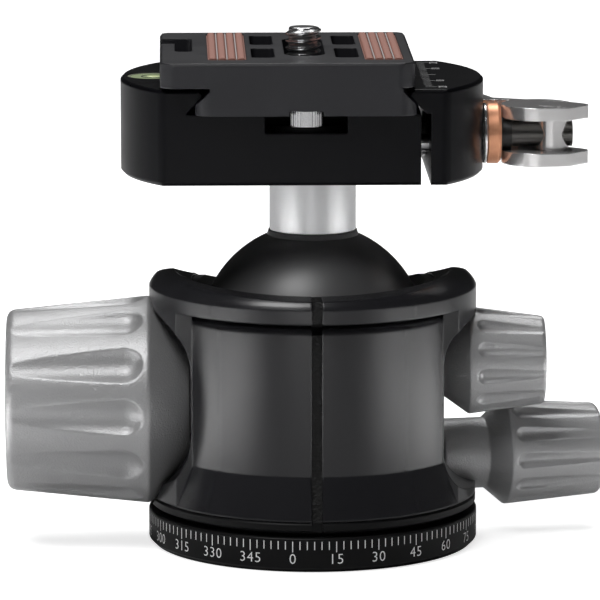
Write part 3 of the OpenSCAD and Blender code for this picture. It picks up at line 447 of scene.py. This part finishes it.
# Stem: a satin turned aluminium post with a spigot in the ball's socket. The clamp's bolt runs down its
# bore.
satin_aluminium = finish("satin_aluminium", (0.78, 0.78, 0.79), rough=0.36, metal=0.6, grain=0.02)
stem_r = 7.6
stem_top = 66.1
stem_bore_r = 3.02
spigot_r = 5
spigot_z = neck_z - 11
stem = turned("stem", [
    (stem_bore_r, spigot_z, 0), (spigot_r, spigot_z, 0), (spigot_r, collar_z, 0), (stem_r, collar_z, 0.25),
    (stem_r, stem_top, 0.2), (stem_bore_r, stem_top, 0)
])
done(stem, satin_aluminium, "platform", "stem")

# Knobs: turned aluminium, blasted and anodised grey. Twelve ball-nosed flutes run out to the outer end and
# their edges are rolled over. The big one locks the ball, the small ones set its friction and lock the pan.
blasted_grey = finish(
    "blasted_grey", (0.42, 0.42, 0.425), rough=0.4, metal=0.5, grain=0.09, grain_size=0.3
)
flute_count = 12


def knob(name, section, flute_from, flute_to, cutter_r, sink, bore, grain):
    """A fluted knob about Z, from its half section. A ball-nosed cutter runs from one place on the section
    (radius, height) to another, sunk by these two depths. The bore is a radius and its end's height."""
    piece = turned(name, section, 180)
    first_r = flute_from[0] + cutter_r - sink[0]
    last_r = flute_to[0] + cutter_r - sink[1]
    run = flute_to[1] - flute_from[1]
    lean = math.degrees(math.atan2(first_r - last_r, run))
    past_end = 4
    for i in range(flute_count):
        bpy.ops.object.select_all(action="DESELECT")
        bpy.ops.mesh.primitive_uv_sphere_add(segments=40, ring_count=20, radius=cutter_r * MM)
        tool = bpy.context.object
        bpy.ops.object.mode_set(mode="EDIT")
        bpy.ops.mesh.select_all(action="DESELECT")
        bpy.ops.object.mode_set(mode="OBJECT")
        for face in tool.data.polygons:
            face.select = face.center.z > 0
        bpy.ops.object.mode_set(mode="EDIT")
        bpy.ops.mesh.delete(type="FACE")
        bpy.ops.mesh.select_all(action="SELECT")
        bpy.ops.mesh.region_to_loop()
        rise = (0, 0, (run + past_end) * MM)
        bpy.ops.mesh.extrude_region_move(TRANSFORM_OT_translate={"value": rise})
        bpy.ops.mesh.edge_face_add()
        close_up()
        start = shift(0, -first_r, flute_from[1])
        put(tool, spun(360 / flute_count * i, "Z") @ start @ spun(-lean, "X"))
        cut(piece, tool)
    if bore:
        bore_r, bore_end = bore
        cut(piece, rod(bore_r, bore_end + 1, shift(0, 0, -1)))
    only(piece)
    step = piece.modifiers.new("grain", "REMESH")
    step.mode = "VOXEL"
    step.voxel_size = grain * MM
    bpy.ops.object.modifier_apply(modifier=step.name)
    step = piece.modifiers.new("roll", "SMOOTH")
    step.factor = 0.5
    step.iterations = 6
    bpy.ops.object.modifier_apply(modifier=step.name)
    bpy.ops.object.shade_smooth()
    return piece


main_z = 25.2
main_from = 21.7
main_to = 53.9
main = knob(
    "main_knob",
    [(0, main_from, 0), (12, main_from, 0.4), (18.3, 28.9, 0.5), (15.8, main_to, 1.6), (0, main_to, 0)],
    flute_from=(17.83, 33.6), flute_to=(15.85, 53.3), cutter_r=4.5, sink=(1.6, 0.1), bore=(6.4, 24.2),
    grain=0.26
)
main_place = shift(0, 0, main_z) @ spun(-90, "Y")
done(put(main, main_place), blasted_grey, "main_knob", "main_knob")
cap_r = 9
cap_from = 53
cap_to = main_to + 0.05
main_cap = turned("main_knob_cap", [
    (0, cap_from, 0), (cap_r, cap_from, 0), (cap_r, cap_to, 0.3), (0, cap_to, 0)
], 96)
done(put(main_cap, main_place), blasted_grey, "main_knob", "main_knob_cap")

small_flute = {"cutter_r": 1.54, "sink": (0.9, 0.16), "grain": 0.17}
small_from = 22.6
friction_z = 31.9
friction_to = 40.9
friction_turn = 8.8
friction = knob(
    "friction_knob",
    [(0, small_from, 0), (6, small_from, 0.3), (9.5, 27.5, 0.4), (7.7, friction_to, 0.8),
     (0, friction_to, 0)],
    flute_from=(9.14, 30.2), flute_to=(7.7, friction_to), bore=(4.9, 24.6), **small_flute
)
put(friction, shift(0, 0, friction_z) @ spun(friction_turn, "X") @ spun(90, "Y"))
done(friction, blasted_grey, "friction_knob", "friction_knob")

pan_z = 14.2
pan_turn = 10
pan_neck_r = 6.3
pan_to = 51.6
pan = knob(
    "pan_knob",
    [(0, small_from, 0), (pan_neck_r, small_from, 0.3), (pan_neck_r, 30.9, 0.3), (9.35, 34.4, 0.4),
     (8.1, pan_to, 0.8), (0, pan_to, 0)],
    flute_from=(9.18, 36.7), flute_to=(8.1, pan_to), bore=None, **small_flute
)
put(pan, shift(0, 0, pan_z) @ spun(pan_turn, "Z") @ spun(90, "Y"))
done(pan, blasted_grey, "pan_knob", "pan_knob")

# Locks: steel screws in steel bushings, out of sight behind the knobs. They press a bronze brake shoe on
# the ball, a white plastic pad on it from the other side, and a bronze pad on the spindle.
dress(plain_steel, "main_bushing", "main_screw", "friction_bushing", "friction_screw", "pan_screw")
dress(bronze, "brake_shoe", "pan_pad")
dress(white_plastic, "friction_pad")

# Clamp: a round aluminium body and a jaw that slides on two pins, both anodised satin black, over a bolt
# that holds them to the stem. A painted scale with numbers runs along the jaw's lip.
dark_steel = finish(
    "dark_steel", (0.12, 0.115, 0.11), rough=0.35, metal=1.0, grain=0.004, grain_size=0.3, edge=0.1
)
clamp_black = finish(
    "clamp_black", (0.002, 0.002, 0.003), rough=0.3, grain=0.003, grain_size=0.2, edge=0.5, wear=0.03,
    gloss=0.12
)
grey_paint = finish("grey_paint", (0.5, 0.5, 0.5), rough=0.6)
dress(clamp_black, "clamp_body", "clamp_jaw")
dress(plain_steel, "guide_pins", "jaw_spring")
dress(dark_steel, "clamp_bolt", "draw_rod")
clamp_top = 82.7
scale_x = 18.9
scale_pitch = 1.65
scale_z = clamp_top + paint_lift
number_x = 22.6
marks = []
for i in range(-10, 11):
    length = 1.3 if i % 5 else 2.1 if i else 2.6
    mark = flat_mark(length, 0.16)
    marks.append(put(mark, shift(scale_x + length / 2, i * scale_pitch, scale_z)))
for i in (-2, -1, 1, 2):
    figure = lettering(str(abs(i) * 10), 2.1)
    marks.append(put(figure, shift(number_x, i * 5 * scale_pitch, scale_z) @ spun(90, "Z")))
done(joined("clamp_marks", marks), grey_paint, "jaw")

# Bubble level: a pale green cup with its fluid, sunk in the clamp's left lip, with a black ring and a
# bubble.
level_frame = finish("level_frame", (0.25, 0.27, 0.2), rough=0.3)
level_fluid = finish("level_fluid", (0.5, 0.6, 0.35), rough=0.08)
bubble_green = finish("bubble_green", (0.8, 0.9, 0.5), rough=0.1)
dress(level_frame, "level_housing")
dress(level_fluid, "level_vial")
level_x = -28.05
level_top = clamp_top - 0.17
bubble_r = 1.3
bubble_flat = 0.12
bpy.ops.object.select_all(action="DESELECT")
bpy.ops.mesh.primitive_uv_sphere_add(segments=32, ring_count=16, radius=bubble_r * MM)
bubble = bpy.context.object
bubble.name = bubble.data.name = "level_bubble"
put(bubble, shift(level_x + 0.3, 0.4, level_top) @ Matrix.Diagonal((1, 1, bubble_flat, 1)))
bpy.ops.object.shade_smooth()
done(bubble, bubble_green, "platform")
ring_r = 1.75
ring_w = 0.2
ring_h = 0.07
ring = turned("level_ring", [
    (ring_r, level_top, 0), (ring_r + ring_w, level_top, 0),
    (ring_r + ring_w, level_top + ring_h, 0), (ring_r, level_top + ring_h, 0)
], 48)
done(put(ring, shift(level_x, 0, 0)), black_plastic, "platform")

# Draw rod's washers, sleeve and lever: steel and copper washers, a black sleeve, and a polished lever whose
# cam pulls the jaw in. Two caps close its pivot.
polished_steel = finish(
    "polished_steel", (0.8, 0.79, 0.79), rough=0.18, metal=0.8, grain=0.001, grain_size=0.5, edge=0.3
)
copper = finish(
    "copper", (0.8, 0.38, 0.22), rough=0.42, metal=0.7, grain=0.01, grain_size=0.3, edge=0.15
)
dress(polished_steel, "pivot_barrel", "lever", "pivot_caps", "steel_washer")
dress(copper, "copper_washer")
dress(black_plastic, "thrust_sleeve")


# Camera plate: milled aluminium, anodised dark grey, with two ribbed copper-brown rubber pads let into it.
# Light grey strips are painted between the ribs as highlights in the gaps.
def soften(piece, width, segments, angle=35):
    """Breaks the edges of the piece that are sharper than the angle, by a width in mm."""
    only(piece)
    step = piece.modifiers.new("edges", "BEVEL")
    step.width = width * MM
    step.segments = segments
    step.limit_method = "ANGLE"
    step.angle_limit = math.radians(angle)
    step.use_clamp_overlap = True
    bpy.ops.object.modifier_apply(modifier=step.name)


plate_anodised = finish(
    "plate_anodised", (0.016, 0.016, 0.019), rough=0.42, grain=0.004, grain_size=0.2, edge=0.35, wear=0.04,
    gloss=0.35
)
copper_rubber = finish("copper_rubber", (0.33, 0.15, 0.115), rough=0.65, grain=0.02, grain_size=0.3)
# The light grey of the strips between the ribs is a painted highlight, not a colour of the pads.
painted_highlight_grey = finish("painted_highlight_grey", (0.42, 0.38, 0.37), rough=0.5)
dress(plate_anodised, "camera_plate")
channel_x = -1.65
plate_top = 87.55
pad_w = 6.6
pad_l = 37.5
pad_x = 13.5
pad_y = 1.3
pad_sink = 0.8
pad_h = 0.6
rib_count = 4
rib_pitch = 1.65


def pad_strip(name, width, height, radius, x, z, short):
    """A bar along the pad, less than its length by this much at each end, with rounded upper edges."""
    half = width / 2
    section = [(-half, 0, 0), (half, 0, 0), (half, height, radius), (-half, height, radius)]
    strip = pressed(name, section, pad_l - 2 * short)
    return put(strip, shift(x, pad_y + pad_l / 2 - short, z) @ spun(90, "X"))


for name, x in (("pad_left", channel_x - pad_x), ("pad_right", channel_x + pad_x)):
    pad = pressed("pad_base", [
        (-pad_w / 2, -pad_l / 2, 1), (pad_w / 2, -pad_l / 2, 1),
        (pad_w / 2, pad_l / 2, 1), (-pad_w / 2, pad_l / 2, 1)
    ], pad_h)
    pieces = [put(pad, shift(x, pad_y, plate_top - pad_sink))]
    for i in range(rib_count):
        rib_x = x + (i - (rib_count - 1) / 2) * rib_pitch
        rib = pad_strip("pad_rib", 1.32, 0.62, 0.4, rib_x, plate_top - 0.3, 0.3)
        soften(rib, 0.15, 2)
        smooth(rib, 40)
        pieces.append(rib)
    done(joined(name + "_rubber", pieces), copper_rubber, "plate", name)
    # Painted highlights: thin light grey strips between the ribs stand in for the glints in the gaps.
    highlight_strips = []
    for i in range(rib_count - 1):
        highlight_x = x + (i - (rib_count - 2) / 2) * rib_pitch
        highlight_strips.append(pad_strip("pad_highlight", 0.2, 0.25, 0, highlight_x, plate_top - 0.1, 0.4))
    done(joined(name + "_lines", highlight_strips), painted_highlight_grey, "plate")

# Camera screw: bright turned steel with a quarter-inch thread, held in the plate by its slotted head, which
# is turned from below.
bright_steel = finish(
    "bright_steel", (0.7, 0.7, 0.71), rough=0.24, metal=1.0, grain=0.002, grain_size=0.3, edge=0.08
)
head_r = 5.5
head_z = 79.95
head_top = head_z + 2.6
core_r = 2.55
screw_top = plate_top + 3.7
shank = turned("camera_screw_shank", [
    (0, head_z, 0), (head_r, head_z, 0.3), (head_r, head_top, 0.3), (core_r, head_top, 0),
    (core_r, screw_top, 0.35), (0, screw_top, 0)
], 64)
slot_w = 1.2
slot = pressed("slot", [
    (-6, -slot_w / 2, 0), (6, -slot_w / 2, 0), (6, slot_w / 2, 0), (-6, slot_w / 2, 0)
], 2.2)
cut(shank, put(slot, shift(0, 0, head_z - 1)))
root_r = 2.4
crest_r = 3.14
pitch = 1.27
turns = 6
thread = outline("thread", [(root_r, -0.62), (crest_r, -0.12), (crest_r, 0.12), (root_r, 0.62)])
stand_up(thread)
put(thread, shift(0, 0, head_top + 0.5))
only(thread)
step = thread.modifiers.new("helix", "SCREW")
step.angle = math.tau
step.screw_offset = pitch * MM
step.iterations = turns
step.steps = step.render_steps = 40
step.use_normal_calculate = True
bpy.ops.object.modifier_apply(modifier=step.name)
bpy.ops.object.mode_set(mode="EDIT")
bpy.ops.mesh.select_all(action="SELECT")
bpy.ops.mesh.fill_holes(sides=8)
close_up()
smooth(thread)
screw = joined("camera_screw", [shank, thread])
done(put(screw, shift(channel_x, 0, 0)), bright_steel, "camera_screw", "camera_screw")

# Stop pins: two knurled steel studs pressed into the plate from below, one near each end. They keep the
# plate from sliding out of the open clamp.
stop_y = 19.6
stop_r = 2.8
stop_h = 2.9
stop_z = 77.9
stop_shank_r = 1.5
stop_shank_z = 79.3
knurl_sides = 60
knurl_depth = 0.94
pins = []
for y in (-stop_y, stop_y):
    bpy.ops.object.select_all(action="DESELECT")
    bpy.ops.mesh.primitive_cylinder_add(vertices=knurl_sides, radius=stop_r * MM, depth=stop_h * MM)
    pin = bpy.context.object
    for corner in pin.data.vertices:
        around = math.atan2(corner.co.y, corner.co.x) / math.tau * knurl_sides
        if round(around) % 2:
            corner.co = (corner.co.x * knurl_depth, corner.co.y * knurl_depth, corner.co.z)
    soften(pin, 0.12, 1, 60)
    pins.append(put(pin, shift(channel_x, y, stop_z)))
    pins.append(rod(stop_shank_r, 3.8, shift(channel_x, y, stop_shank_z), 32))
done(joined("stop_pins", pins), bright_steel, "plate", "stop_pins")
